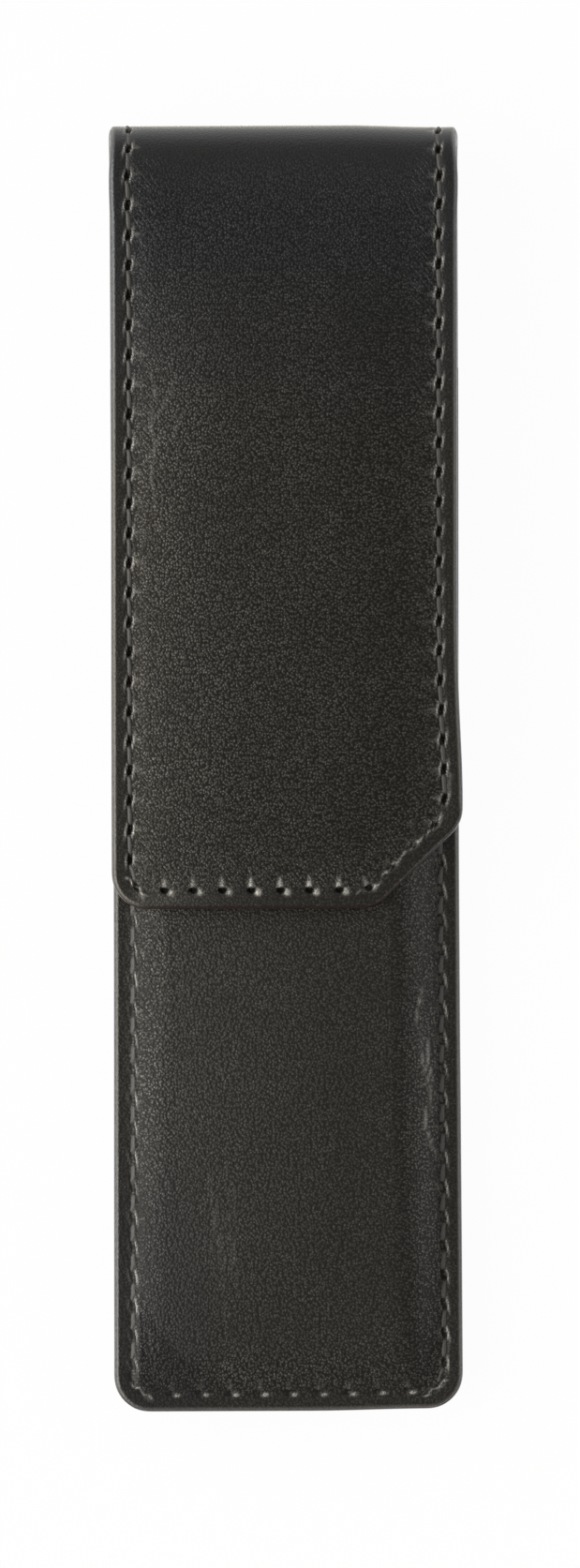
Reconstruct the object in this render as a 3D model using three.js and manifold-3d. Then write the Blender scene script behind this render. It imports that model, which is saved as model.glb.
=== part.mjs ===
// Flat-sewn leather pen case for two pens, with a flap that folds over its front.
// Frame: the case lies on its back, +Z up out of the front, +Y towards the spine, millimetres.
// The origin is the centre of the outline, on the plane that the back rests on.
//
// Back, spine and flap are one laminated strip that is wrapped round the pocket. A point of that
// strip is (x, s, n): x across, s along the outside from the bottom edge of the back, over the
// spine, to the free edge of the flap, and n the depth below the outside.
import * as THREE from "three";
import { mergeVertices } from "three/addons/utils/BufferGeometryUtils.js";
import Module from "manifold-3d";

const wasm = await Module();
wasm.setup();

// Driving dimensions: the outline
const LENGTH = 160; // bottom edge to the outside of the spine
const WIDTH = 43.4;
const FLAP_REACH = 97; // outside of the spine to the flap's free edge
const CORNER_CUT = 10.4; // legs of the corner cut off the flap
const CORNER_RADIUS = 4.2;
const SPINE_RADIUS = 6.8; // outside radius of the two folds at the spine
const MOUTH_DROP = 30; // outside of the spine to the pocket's mouth
const NOTCH_WIDTH = 20; // thumb notch in the mouth
const NOTCH_DEPTH = 5;

// Driving dimensions: the layers
const LEATHER = 1.1;
const BOARD = 0.8; // stiffener in the back and the flap, soft interlining in the spine
const PADDING = 0.6; // thin felt behind the front leather
const LINING = 0.6;
const GLUE = 0.1; // film between two layers
const EDGE_RADIUS = 0.7; // rounding of the painted edges

// Driving dimensions: the pocket
const PEN_HEIGHT = 6.5; // clear height inside, for slim pens
const HEM = 3; // flat margin that is sewn down
const SIDE_SHOULDER = 9; // run of the slope from the hem to the flat of the front
const END_SHOULDER = 12; // the same at the closed end
const INNER_CORNER = 2; // corner radius at the foot of the slope, which grows on the way up
const CORNER_SHARE = 0.8; // largest corner radius there, as a share of half the width left
const REST_GAP = 0.5; // closed flap to the front

// Driving dimensions: what is sewn and glued in
const SEAM_INSET = 2.1; // edge to stitch line
const STITCH = 3.7;
const THREAD = 0.5;
const THREAD_PLAY = 0.05; // thread to the floor of its groove
const THREAD_PROUD = 0.2; // how far a stitch stands out of the leather
const THREAD_SUNK = 0.03; // how far it stays below the back and the spine, which are stood on
const GROOVE_WIDTH = 0.9;
const GROOVE_DEPTH = 0.7;
const LINING_GROOVE_DEPTH = 0.4;
const MAGNET_DIAMETER = 10;
const KEEPER_DIAMETER = 12;
const MAGNET_SETBACK = 12; // flap's free edge to the magnet's centre
const MAGNET_PLAY = 0.2; // magnet to the wall of its hole
const DIVIDER = 0.6; // thickness of the divider between the pens
const DIVIDER_FOOT = 8; // width of its glued foot
const DIVIDER_HEADROOM = 0.5; // divider to the lining above it
const DIVIDER_SETBACK = 3; // thumb notch to the divider's upper end
const FOLD_GAP = 0.2; // cut between the strip's parts at a fold line

// Facets
const CORNER_STEPS = 6;
const EDGE_STEPS = 3;
const FOLD_STEPS = 10; // in a whole fold
const DISC_STEPS = 40;
const SHOULDER_STEPS = 8;
const SAME = 1e-3; // points closer than this count as one

// Heights that follow
const PANEL = LEATHER + GLUE + BOARD + GLUE + LINING;
const FRONT = LEATHER + GLUE + PADDING + GLUE + LINING;
const HEIGHT = PANEL + PEN_HEIGHT + FRONT + REST_GAP + PANEL;
const HEM_TOP = PANEL + GLUE + FRONT;
const FLAT_TOP = PANEL + PEN_HEIGHT + FRONT;
const HALF = WIDTH / 2;
const BOTTOM = -LENGTH / 2;
const TOP = LENGTH / 2;
const MOUTH = TOP - MOUTH_DROP;

// Lengths along the strip
const FOLD_ARC = (SPINE_RADIUS * Math.PI) / 2;
const S_BACK = LENGTH - SPINE_RADIUS; // end of the flat back
const S_SPINE = S_BACK + FOLD_ARC;
const S_SPINE_END = S_SPINE + HEIGHT - 2 * SPINE_RADIUS;
const S_FLAP = S_SPINE_END + FOLD_ARC;
const S_END = S_FLAP + FLAP_REACH - SPINE_RADIUS;
const BACK_FOLD = (S_BACK + S_SPINE) / 2; // the strip hinges on these two lines
const FRONT_FOLD = (S_SPINE_END + S_FLAP) / 2;
const BACK_END = BACK_FOLD - FOLD_GAP / 2;
const SPINE_START = BACK_FOLD + FOLD_GAP / 2;
const SPINE_END = FRONT_FOLD - FOLD_GAP / 2;
const FLAP_START = FRONT_FOLD + FOLD_GAP / 2;
const S_MOUTH = LENGTH - MOUTH_DROP;

// Places on the strip and on the pocket, as points of the model
function onStrip(x, s, n) {
  const foldY = TOP - SPINE_RADIUS;
  const radius = SPINE_RADIUS - n;
  if (s <= S_BACK) return new THREE.Vector3(x, BOTTOM + s, n);
  if (s <= S_SPINE) {
    const angle = (s - S_BACK) / SPINE_RADIUS;
    return new THREE.Vector3(x, foldY + radius * Math.sin(angle), SPINE_RADIUS - radius * Math.cos(angle));
  }
  if (s <= S_SPINE_END) return new THREE.Vector3(x, TOP - n, SPINE_RADIUS + s - S_SPINE);
  if (s <= S_FLAP) {
    const angle = (s - S_SPINE_END) / SPINE_RADIUS;
    return new THREE.Vector3(x, foldY + radius * Math.cos(angle), HEIGHT - SPINE_RADIUS + radius * Math.sin(angle));
  }
  return new THREE.Vector3(x, foldY - (s - S_FLAP), HEIGHT - n);
}
const insideStrip = (x, s, n) => onStrip(x, s, PANEL - n);
const onHem = (x, s, n) => new THREE.Vector3(x, BOTTOM + s, HEM_TOP - n);

// Solids: a closed skin over rings of points, and its joins and cuts
function skin(rings) {
  const count = rings[0].length;
  const points = rings.flat();
  const index = [];
  for (let j = 0; j + 1 < rings.length; j++) {
    for (let i = 0; i < count; i++) {
      const a = j * count + i;
      const b = j * count + ((i + 1) % count);
      index.push(a, a + count, b + count, a, b + count, b);
    }
  }
  const last = (rings.length - 1) * count;
  for (let i = 1; i + 1 < count; i++) {
    index.push(0, i, i + 1);
    index.push(last, last + i + 1, last + i);
  }
  return new THREE.BufferGeometry().setFromPoints(points).setIndex(index);
}

// A skin over a face that mirrors the strip comes out inside out, so it is turned here
function toSolid(geometry) {
  const bare = geometry.clone();
  bare.deleteAttribute("normal");
  bare.deleteAttribute("uv");
  const merged = mergeVertices(bare, 1e-4);
  const triVerts = new Uint32Array(merged.index.array);
  const vertProperties = new Float32Array(merged.attributes.position.array);
  const solid = new wasm.Manifold(new wasm.Mesh({ numProp: 3, vertProperties, triVerts }));
  if (solid.volume() > 0) return solid;
  for (let i = 0; i < triVerts.length; i += 3) {
    [triVerts[i + 1], triVerts[i + 2]] = [triVerts[i + 2], triVerts[i + 1]];
  }
  return new wasm.Manifold(new wasm.Mesh({ numProp: 3, vertProperties, triVerts }));
}

function toGeometry(solid) {
  const mesh = solid.getMesh();
  const geometry = new THREE.BufferGeometry();
  geometry.setAttribute("position", new THREE.BufferAttribute(mesh.vertProperties, 3));
  geometry.setIndex(new THREE.BufferAttribute(mesh.triVerts, 1));
  geometry.computeVertexNormals();
  return geometry;
}

function cut(geometry, ...cutters) {
  return toGeometry(cutters.reduce((solid, cutter) => solid.subtract(toSolid(cutter)), toSolid(geometry)));
}

// A line of points with its inner corners rounded
function rounded(corners, radius) {
  const points = [corners[0]];
  for (let k = 1; k + 1 < corners.length; k++) {
    const corner = corners[k];
    const back = corners[k - 1].clone().sub(corner).normalize();
    const on = corners[k + 1].clone().sub(corner).normalize();
    const half = Math.acos(back.dot(on)) / 2;
    const middle = back.clone().add(on).normalize();
    const centre = corner.clone().addScaledVector(middle, radius / Math.sin(half));
    const from = corner.clone().addScaledVector(back, radius / Math.tan(half)).sub(centre);
    const turn = (Math.PI - 2 * half) * Math.sign(from.cross(middle.clone().negate()));
    for (let step = 0; step <= CORNER_STEPS; step++) {
      points.push(from.clone().rotateAround(new THREE.Vector2(), (turn * step) / CORNER_STEPS).add(centre));
    }
  }
  return [...points, corners.at(-1)];
}

const at = (x, s) => new THREE.Vector2(x, s);

// The strip's outline and, at an inset, its stitch line. The flap's right corner is cut at 45 degrees.
function cutCorner(inset) {
  const leg = CORNER_CUT + inset * (Math.SQRT2 - 1);
  return [at(HALF - leg, S_END - inset), at(HALF - inset, S_END - leg)];
}
const leftEdge = rounded([at(0, 0), at(-HALF, 0), at(-HALF, S_END), at(0, S_END)], CORNER_RADIUS).slice(1, -1);
const rightEdge = rounded(
  [at(0, 0), at(HALF, 0), ...cutCorner(0).reverse(), at(0, S_END)],
  CORNER_RADIUS,
).slice(1, -1);

function edgeAt(edge, s) {
  const k = edge.findIndex((point) => point.y >= s - 1e-9);
  if (k <= 0) return edge.at(k).x;
  const [a, b] = [edge[k - 1], edge[k]];
  return THREE.MathUtils.mapLinear(s, a.y, b.y, a.x, b.x);
}

function foldStations(from, to) {
  const stations = [];
  for (const start of [S_BACK, S_SPINE_END]) {
    for (let step = 0; step <= FOLD_STEPS; step++) stations.push(start + (FOLD_ARC * step) / FOLD_STEPS);
  }
  return stations.filter((s) => s > from && s < to);
}

// How far an edge rounded by radius has dropped at a distance from its rim
function edgeDrop(distance, radius) {
  const short = THREE.MathUtils.clamp(radius - distance, 0, radius);
  return radius - Math.sqrt(radius * radius - short * short);
}

function edgeStations(radius) {
  return Array.from({ length: EDGE_STEPS + 1 }, (_, k) => radius * (1 - Math.cos((k / EDGE_STEPS) * (Math.PI / 2))));
}

// One layer of the strip from s = from to s = to, between two depths
function stripLayer(from, to, shallow, deep, radius = 0) {
  const rims = edgeStations(radius);
  const stations = [
    from,
    to,
    ...[...leftEdge, ...rightEdge].map((point) => point.y),
    ...rims,
    ...rims.map((rim) => S_END - rim),
    ...foldStations(from, to),
  ];
  const rings = stations
    .filter((s) => s >= from && s <= to)
    .sort((a, b) => a - b)
    .filter((s, k, sorted) => k === 0 || s - sorted[k - 1] > SAME)
    .map((s) => {
      const [left, right] = [edgeAt(leftEdge, s), edgeAt(rightEdge, s)];
      const top = shallow + edgeDrop(Math.min(s, S_END - s), radius);
      const arc = radius ? rims : [0];
      const outer = arc.map((rim) => [left + rim, top + edgeDrop(rim, radius)]);
      const mirrored = arc.map((rim) => [right - rim, top + edgeDrop(rim, radius)]).reverse();
      return [...outer, ...mirrored, [right, deep], [left, deep]].map(([x, n]) => onStrip(x, s, n));
    });
  return skin(rings);
}

// Stitching: a thread that rises between its holes, and the groove that it lies in
function sweep(points, place, section) {
  const last = points.length - 1;
  return skin(
    points.map((point, k) => {
      const along = points[Math.min(k + 1, last)].clone().sub(points[Math.max(k - 1, 0)]).normalize();
      const across = at(along.y, -along.x);
      return section(k).map(([side, n]) => place(point.x + across.x * side, point.y + across.y * side, n));
    }),
  );
}

// A stitch line with a point wherever the strip bends under it
function followFolds(line) {
  return line.flatMap((a, k) => {
    const b = line[k + 1] ?? a;
    const between = foldStations(Math.min(a.y, b.y), Math.max(a.y, b.y));
    if (b.y < a.y) between.reverse();
    return [a, ...between.map((s) => at(THREE.MathUtils.mapLinear(s, a.y, b.y, a.x, b.x), s))];
  });
}

function groove(line, place, depth) {
  const side = GROOVE_WIDTH / 2;
  const section = [[-side, -depth], [side, -depth], [side, depth], [-side, depth]];
  return sweep(followFolds(line), place, () => section);
}

function thread(line, place, depth, proud, ringsPerStitch) {
  const path = new THREE.Path(line);
  const rings = Math.round(path.getLength() / STITCH) * ringsPerStitch;
  const half = THREAD / 2;
  const low = depth - THREAD_PLAY - half;
  const high = Math.min(low, half - proud);
  return sweep(path.getSpacedPoints(rings), place, (k) => {
    const n = k % ringsPerStitch ? high : low;
    return [[-half, n], [0, n - half], [half, n], [0, n + half]];
  });
}

// Stitch lines. A line that ends at a fold takes a reach, by which its groove runs out through the cut there.
const SEAM_X = HALF - SEAM_INSET;
const seamRadius = CORNER_RADIUS - SEAM_INSET;
const run = (x, from, to) => [at(x, from), at(x, to)];
const bottomSeam = (top) =>
  rounded([at(-SEAM_X, top), at(-SEAM_X, SEAM_INSET), at(SEAM_X, SEAM_INSET), at(SEAM_X, top)], seamRadius);
const frontSeam = bottomSeam(S_MOUTH - SEAM_INSET);
const backSeam = (reach = 0) => bottomSeam(BACK_END + reach);
const spineSeam = (x) => (reach = 0) => run(x, SPINE_START - reach, SPINE_END + reach);
const mouthSeam = (x) => (reach = 0) => run(x, S_MOUTH + SEAM_INSET, BACK_END + reach);
const flapSeam = (reach = 0) => {
  const [left, right] = [at(-SEAM_X, FLAP_START - reach), at(SEAM_X, FLAP_START - reach)];
  return rounded([left, at(-SEAM_X, S_END - SEAM_INSET), ...cutCorner(SEAM_INSET), right], seamRadius);
};
const sides = { left: -SEAM_X, right: SEAM_X };
const bothSides = (seam) => Object.values(sides).map((x) => seam(x));

// The pocket's front: a dome, steepest at the seam, that runs up from the hem on both sides and the end.
// Points of its outside from the rim to the flat, each with the way in which it moves per millimetre of depth.
function profile(shoulder) {
  const slope = Array.from({ length: SHOULDER_STEPS + 1 }, (_, k) => HEM + (k / SHOULDER_STEPS) * shoulder);
  const points = [...edgeStations(EDGE_RADIUS), ...slope].map((inset) => {
    const t = Math.max(0, (inset - HEM) / shoulder);
    return at(inset, HEM_TOP + (FLAT_TOP - HEM_TOP) * t * (2 - t));
  });
  const level = at(0, -1);
  const normals = points.slice(1).map((point, k) => {
    const along = point.clone().sub(points[k]).normalize();
    return at(along.y, -along.x);
  });
  return points.map((point, k) => {
    const [before, after] = [normals[k - 1] ?? level, normals[k] ?? level];
    return { point, inward: before.clone().add(after).divideScalar(1 + before.dot(after)) };
  });
}
const sideProfile = profile(SIDE_SHOULDER);
const endProfile = profile(END_SHOULDER);

function pocketRing(side, end, drop) {
  const [x, y] = [HALF - side.x, BOTTOM + end.x];
  const grown = INNER_CORNER + Math.max(0, side.x - HEM);
  const radius = Math.max(CORNER_RADIUS - side.x, Math.min(grown, CORNER_SHARE * x));
  const half = [new THREE.Vector3(x, MOUTH, side.y - drop)];
  for (let step = 0; step <= CORNER_STEPS; step++) {
    const turn = step / CORNER_STEPS;
    const angle = (turn * Math.PI) / 2;
    const height = THREE.MathUtils.lerp(side.y, end.y, turn) - drop;
    half.push(new THREE.Vector3(x - radius + radius * Math.cos(angle), y + radius - radius * Math.sin(angle), height));
  }
  const other = half.map((point) => new THREE.Vector3(-point.x, point.y, point.z)).reverse();
  return [...half, ...other];
}

function pocketSurface(depth, radius) {
  const sunk = ({ point, inward }) => point.clone().addScaledVector(inward, depth);
  return sideProfile.map((side, k) => {
    const drop = radius ? edgeDrop(side.point.x, radius) : 0;
    return pocketRing(sunk(side), sunk(endProfile[k]), drop);
  });
}

function pocketLayer(shallow, deep, radius = 0) {
  const skins = [pocketSurface(shallow, radius), pocketSurface(deep, 0)];
  const rings = skins[0].length;
  const count = skins[0][0].length;
  const vertex = (side, j, i) => (side * rings + j) * count + i;
  const index = [];
  const quad = (a, b, c, d) => index.push(a, b, c, a, c, d);
  for (let j = 0; j + 1 < rings; j++) {
    for (let i = 0; i + 1 < count; i++) {
      quad(vertex(0, j, i), vertex(0, j + 1, i), vertex(0, j + 1, i + 1), vertex(0, j, i + 1));
      quad(vertex(1, j, i), vertex(1, j, i + 1), vertex(1, j + 1, i + 1), vertex(1, j + 1, i));
    }
    const end = count - 1;
    quad(vertex(0, j, 0), vertex(1, j, 0), vertex(1, j + 1, 0), vertex(0, j + 1, 0));
    quad(vertex(0, j, end), vertex(0, j + 1, end), vertex(1, j + 1, end), vertex(1, j, end));
  }
  const flat = rings - 1;
  for (let i = 0; i + 1 < count; i++) {
    quad(vertex(0, 0, i), vertex(0, 0, i + 1), vertex(1, 0, i + 1), vertex(1, 0, i));
  }
  for (let i = 0; i + 1 < count / 2; i++) {
    const mirror = count - 1 - i;
    quad(vertex(0, flat, i), vertex(0, flat, mirror), vertex(0, flat, mirror - 1), vertex(0, flat, i + 1));
    quad(vertex(1, flat, i), vertex(1, flat, i + 1), vertex(1, flat, mirror - 1), vertex(1, flat, mirror));
  }
  quad(vertex(0, flat, 0), vertex(1, flat, 0), vertex(1, flat, count - 1), vertex(0, flat, count - 1));
  const geometry = new THREE.BufferGeometry().setFromPoints(skins.flat(2));
  return geometry.setIndex(index);
}

function disc(diameter, y, low, high) {
  const geometry = new THREE.CylinderGeometry(diameter / 2, diameter / 2, high - low, DISC_STEPS);
  return geometry.rotateX(Math.PI / 2).translate(0, y, (low + high) / 2);
}

const notchRadius = (NOTCH_WIDTH * NOTCH_WIDTH) / (8 * NOTCH_DEPTH) + NOTCH_DEPTH / 2;
const notch = disc(2 * notchRadius, MOUTH - NOTCH_DEPTH + notchRadius, 0, HEIGHT);

// Depths of the layers below the outside
const boardDepth = LEATHER + GLUE;
const liningDepth = boardDepth + BOARD + GLUE;
const feltDepth = LEATHER + GLUE;
const frontLiningDepth = feltDepth + PADDING + GLUE;
const magnetY = TOP - FLAP_REACH + MAGNET_SETBACK;

// Materials
const finish = (color, roughness, metalness = 0) => new THREE.MeshStandardMaterial({ color, roughness, metalness });
const LEATHER_BLACK = finish(0x24231f, 0.5);
const LINING_BLACK = finish(0x1d1c1b, 0.85);
const BOARD_TAN = finish(0x8a745a, 0.9);
const FELT_GREY = finish(0x55524e, 0.95);
const THREAD_BLACK = finish(0x2f2e2d, 0.7);
const NICKEL = finish(0xb9bcc0, 0.3, 1);
const FILLERS = { board: BOARD_TAN, interlining: FELT_GREY };

const group = new THREE.Group();
function piece(name, geometry, material) {
  const mesh = new THREE.Mesh(toGeometry(toSolid(geometry)), material);
  mesh.name = name;
  group.add(mesh);
}

// Three layers of the strip in each of its parts, each grooved for its stitching
const strip = [
  { name: "back", filler: "board", from: 0, to: BACK_END, outer: [backSeam], inner: bothSides(mouthSeam) },
  {
    name: "spine",
    filler: "interlining",
    from: SPINE_START,
    to: SPINE_END,
    outer: bothSides(spineSeam),
    inner: bothSides(spineSeam),
  },
  { name: "flap", filler: "board", from: FLAP_START, to: S_END, outer: [flapSeam], inner: [flapSeam] },
];
const magnetHole = disc(MAGNET_DIAMETER + 2 * MAGNET_PLAY, magnetY, HEIGHT - PANEL, HEIGHT);
for (const { name, filler, from, to, outer, inner } of strip) {
  const outerGrooves = outer.map((seam) => groove(seam(FOLD_GAP), onStrip, GROOVE_DEPTH));
  const innerGrooves = inner.map((seam) => groove(seam(FOLD_GAP), insideStrip, LINING_GROOVE_DEPTH));
  const leather = stripLayer(from, to, 0, LEATHER, EDGE_RADIUS);
  const middle = stripLayer(from, to, boardDepth, boardDepth + BOARD);
  const lining = stripLayer(from, to, liningDepth, PANEL);
  piece(`${name}_leather`, cut(leather, ...outerGrooves), LEATHER_BLACK);
  piece(`${name}_${filler}`, cut(middle, ...(name === "flap" ? [magnetHole] : [])), FILLERS[filler]);
  piece(`${name}_lining`, cut(lining, ...innerGrooves), LINING_BLACK);
}

// The pocket's front
const keeperHole = disc(KEEPER_DIAMETER + 2 * MAGNET_PLAY, magnetY, PANEL + PEN_HEIGHT, HEIGHT);
const frontGroove = groove(frontSeam, onHem, GROOVE_DEPTH);
piece("front_leather", cut(pocketLayer(0, LEATHER, EDGE_RADIUS), notch, frontGroove), LEATHER_BLACK);
piece("front_felt", cut(pocketLayer(feltDepth, feltDepth + PADDING), notch, keeperHole), FELT_GREY);
piece("front_lining", cut(pocketLayer(frontLiningDepth, FRONT), notch), LINING_BLACK);

// The hidden closure: a magnet in the flap's board and a steel keeper in the front's felt
const flapBoardTop = HEIGHT - boardDepth;
piece("flap_magnet", disc(MAGNET_DIAMETER, magnetY, flapBoardTop - BOARD, flapBoardTop), NICKEL);
const keeperTop = FLAT_TOP - feltDepth;
piece("keeper_plate", disc(KEEPER_DIAMETER, magnetY, keeperTop - PADDING, keeperTop), NICKEL);

// The divider: a T-shaped strip glued to the back's lining between the two pens
const dividerFrom = BOTTOM + HEM + END_SHOULDER + FRONT;
const dividerTo = MOUTH - NOTCH_DEPTH - DIVIDER_SETBACK;
const dividerBase = PANEL + GLUE;
const dividerTop = PANEL + PEN_HEIGHT - DIVIDER_HEADROOM;
const dividerShape = new THREE.Shape([
  at(-DIVIDER_FOOT / 2, dividerBase),
  at(DIVIDER_FOOT / 2, dividerBase),
  at(DIVIDER_FOOT / 2, dividerBase + DIVIDER),
  at(DIVIDER / 2, dividerBase + DIVIDER),
  at(DIVIDER / 2, dividerTop),
  at(-DIVIDER / 2, dividerTop),
  at(-DIVIDER / 2, dividerBase + DIVIDER),
  at(-DIVIDER_FOOT / 2, dividerBase + DIVIDER),
]);
const divider = new THREE.ExtrudeGeometry(dividerShape, { depth: dividerTo - dividerFrom, bevelEnabled: false });
piece("pen_divider", divider.rotateX(Math.PI / 2).translate(0, dividerTo, 0), LINING_BLACK);

// Threads: three rings to a stitch where they show on the front, two elsewhere
const innerThread = (line) => thread(line, insideStrip, LINING_GROOVE_DEPTH, THREAD_PROUD, 2);
piece("front_seam_thread", thread(frontSeam, onHem, GROOVE_DEPTH, THREAD_PROUD, 3), THREAD_BLACK);
piece("flap_seam_thread", thread(flapSeam(), onStrip, GROOVE_DEPTH, THREAD_PROUD, 3), THREAD_BLACK);
piece("back_seam_thread", thread(backSeam(), onStrip, GROOVE_DEPTH, -THREAD_SUNK, 2), THREAD_BLACK);
piece("flap_lining_thread", innerThread(flapSeam()), THREAD_BLACK);
for (const [side, x] of Object.entries(sides)) {
  const outer = thread(spineSeam(x)(), onStrip, GROOVE_DEPTH, -THREAD_SUNK, 2);
  piece(`spine_thread_${side}`, outer, THREAD_BLACK);
  piece(`spine_lining_thread_${side}`, innerThread(spineSeam(x)()), THREAD_BLACK);
  piece(`back_lining_thread_${side}`, innerThread(mouthSeam(x)()), THREAD_BLACK);
}

export default group;
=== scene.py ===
"""Looks of the leather pen case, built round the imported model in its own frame."""

import math

import bpy
import numpy as np
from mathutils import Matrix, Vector


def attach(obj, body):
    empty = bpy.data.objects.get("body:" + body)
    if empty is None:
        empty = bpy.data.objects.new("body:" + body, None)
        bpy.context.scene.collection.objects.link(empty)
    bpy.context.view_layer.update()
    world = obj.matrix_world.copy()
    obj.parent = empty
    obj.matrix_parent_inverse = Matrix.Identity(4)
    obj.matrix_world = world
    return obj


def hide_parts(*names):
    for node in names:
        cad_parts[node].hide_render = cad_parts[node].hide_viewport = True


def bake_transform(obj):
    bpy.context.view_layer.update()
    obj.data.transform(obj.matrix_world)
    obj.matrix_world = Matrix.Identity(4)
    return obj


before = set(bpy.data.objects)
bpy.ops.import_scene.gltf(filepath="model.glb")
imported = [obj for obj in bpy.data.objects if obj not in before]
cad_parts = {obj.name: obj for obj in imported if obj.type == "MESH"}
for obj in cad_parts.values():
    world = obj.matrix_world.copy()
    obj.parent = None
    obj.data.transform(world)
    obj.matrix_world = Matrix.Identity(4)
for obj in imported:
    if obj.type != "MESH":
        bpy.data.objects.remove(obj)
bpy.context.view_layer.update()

# One millimetre in the model's metres
MM = 0.001

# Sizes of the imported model, in millimetres
LENGTH = 160.0
WIDTH = 43.4
FLAP_REACH = 97.0
CORNER_CUT = 10.4
CORNER_RADIUS = 4.2
SPINE_RADIUS = 6.8
MOUTH_DROP = 30.0
NOTCH_WIDTH = 20.0
NOTCH_DEPTH = 5.0
LEATHER = 1.1
BOARD = 0.8
PADDING = 0.6
LINING = 0.6
GLUE = 0.1
PEN_HEIGHT = 6.5
HEM = 3.0
END_SHOULDER = 12.0
REST_GAP = 0.5
SEAM_INSET = 2.1
STITCH = 3.7
DIVIDER = 0.6
DIVIDER_FOOT = 8.0
DIVIDER_HEADROOM = 0.5
DIVIDER_SETBACK = 3.0
MAGNET_DIAMETER = 10.0
KEEPER_DIAMETER = 12.0
MAGNET_SETBACK = 12.0

# Sizes that follow; names with S_ are stations along the outside of the strip, from the back's closed end
UNDER_LEATHER = LEATHER + GLUE
PANEL = LEATHER + BOARD + LINING + 2 * GLUE
FRONT = LEATHER + PADDING + LINING + 2 * GLUE
HEIGHT = 2 * PANEL + PEN_HEIGHT + FRONT + REST_GAP
HEM_TOP = PANEL + GLUE + FRONT
FLAT_TOP = PANEL + PEN_HEIGHT + FRONT
HALF = WIDTH / 2
BOTTOM = -LENGTH / 2
FOLD_ARC = SPINE_RADIUS * math.pi / 2
S_BACK = LENGTH - SPINE_RADIUS
S_SPINE = S_BACK + FOLD_ARC
S_SPINE_END = S_SPINE + HEIGHT - 2 * SPINE_RADIUS
S_FLAP = S_SPINE_END + FOLD_ARC
S_END = S_FLAP + FLAP_REACH - SPINE_RADIUS
S_MIDDLE = (S_SPINE + S_SPINE_END) / 2
S_MOUTH = LENGTH - MOUTH_DROP
BACK_FOLD = (S_BACK + S_SPINE) / 2
FRONT_FOLD = (S_SPINE_END + S_FLAP) / 2

# How the photographed case departs from the flat pattern, in millimetres: what sides and ends lose or gain
EDGE_TRIM = 0.17
FLAP_TRIM = 0.3
FLAP_TRIM_RUN = (-3.0, 7.0)
FLAP_SKEW = 0.2
SKEW_RUN = 90.0
BODY_TRIM = 0.2
BODY_TRIM_CENTRE = 70.0
BODY_TRIM_REACH = 45.0
END_TRIM = 0.25
END_TRIM_RUN = 30.0
SLANT = 0.25
END_SLANT = (3.0, 18.0)
SPINE_SLANT = (8.0, 18.0)
WAIST = 0.35
WAIST_REACH = 5.0
FLARE = 0.65
FLARE_SETBACK = 13.0
FLARE_REACH = 12.0

# The flap's form, in millimetres: how far its sides fall below its middle, after which run, with which curve
# up to which share of the half width; how far its free edge droops; how it is puffed up inside its seam
CROWN = 3.0
CROWN_RUN = 25.0
CROWN_POWER = 2.6
CROWN_LIMIT = 0.89
CROWN_SOFT = 0.04
DROOP = 1.2
PUFF = 0.16
PUFF_FIELD = (2.5, 4.7)
PUFF_RUN = 12.0

# Slow unevenness of the leather: its waves, the spread of their lengths, and where inside the rim it sets in
SWELL_WAVES = 6
SWELL_SPREAD = 0.35
SWELL_FIELD = (3.0, 7.0)

# Where painted shade dims the grain's crests and cools its shine, in millimetres: past the flap's fold, up to
# the spine, low on the pocket's left
FLAP_SHADE = (5.0, 40.0)
BACK_SHADE = 30.0
FRONT_SHADE = 1.2
FRONT_SHADE_UP = (12.0, 50.0)
FRONT_SHADE_ACROSS = (7.0, 16.0)

# The empty pocket's front: how much lower it lies than over pens, where it starts to rise and how softly,
# and the shares of its rise with how far in each levels out at the left, the right and the end
SETTLE = 1.4
RISE = 2.15
RISE_SOFT = 0.35
SHOULDERS = ((0.17, 1.1, 6.5, 6.0), (0.28, 5.0, 6.5, 50.0), (0.55, 26.0, 6.5, 26.0))

# Mesh spacing in millimetres, on the flats and near edges and stitches
SHOWN_MESH = (0.32, 0.17)
BACK_MESH = (0.5, 0.25)
FRONT_CLOTH_MESH = (0.7, 0.4)
PLAIN_MESH = (0.9, 0.5)
DIVIDER_MESH = 0.9

# Mesh rows by their distance from an edge, in millimetres: rim, seam, inside the seam, start of the flats
RIM_ROWS = (0, 0.06, 0.16, 0.3, 0.48, 0.7)
SEAM_ROWS = (0.9, 3.3)
INNER_ROWS = (3.6, 6.0)
FLAT_START = 6.4
END_ZONE = 8.0
MOUTH_ROWS = (0.5, 0.3, 0.16, 0.06, 0.0)
MOUTH_ZONE = 0.6

# A sheet's unseen side, its least thickness, and the angle of a sharp edge in degrees
UNDERSIDE_COLUMNS = 9
THINNEST = 0.05
SHARP_EDGE = 40

# Rims and margins, in millimetres: how round a rim is, and how far inner layers stay inside the outline
RIM = 0.4
LINING_RIM = 0.35
LINING_MARGIN = 0.1
LEAST_CORNER = 0.3
CORE_MARGIN = 0.4
PAST_MOUTH = 9.0

# The painted edge, in millimetres
BAND_STEP = 0.5
BAND_POINTS = 9
BAND_BULGE = 0.3
BAND_SINK = 0.06
BAND_ROOT = 0.3
BAND_TOP = 0.3
BAND_BASE = 0.4
HEM_BASE = 0.05

# The stitching, in millimetres, with the thread's twist in radians; the right row lies past RIGHT_SEAM
THREAD_RADIUS = 0.29
THREAD_SLANT = 0.16
THREAD_TWIST = 11.0
TWIST_DEPTH = 0.1
STITCH_RINGS = 15
STITCH_SIDES = 10
SPINE_PROUD = -0.24
END_SINK = 0.45
RIGHT_SEAM = HALF - HEM
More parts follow.
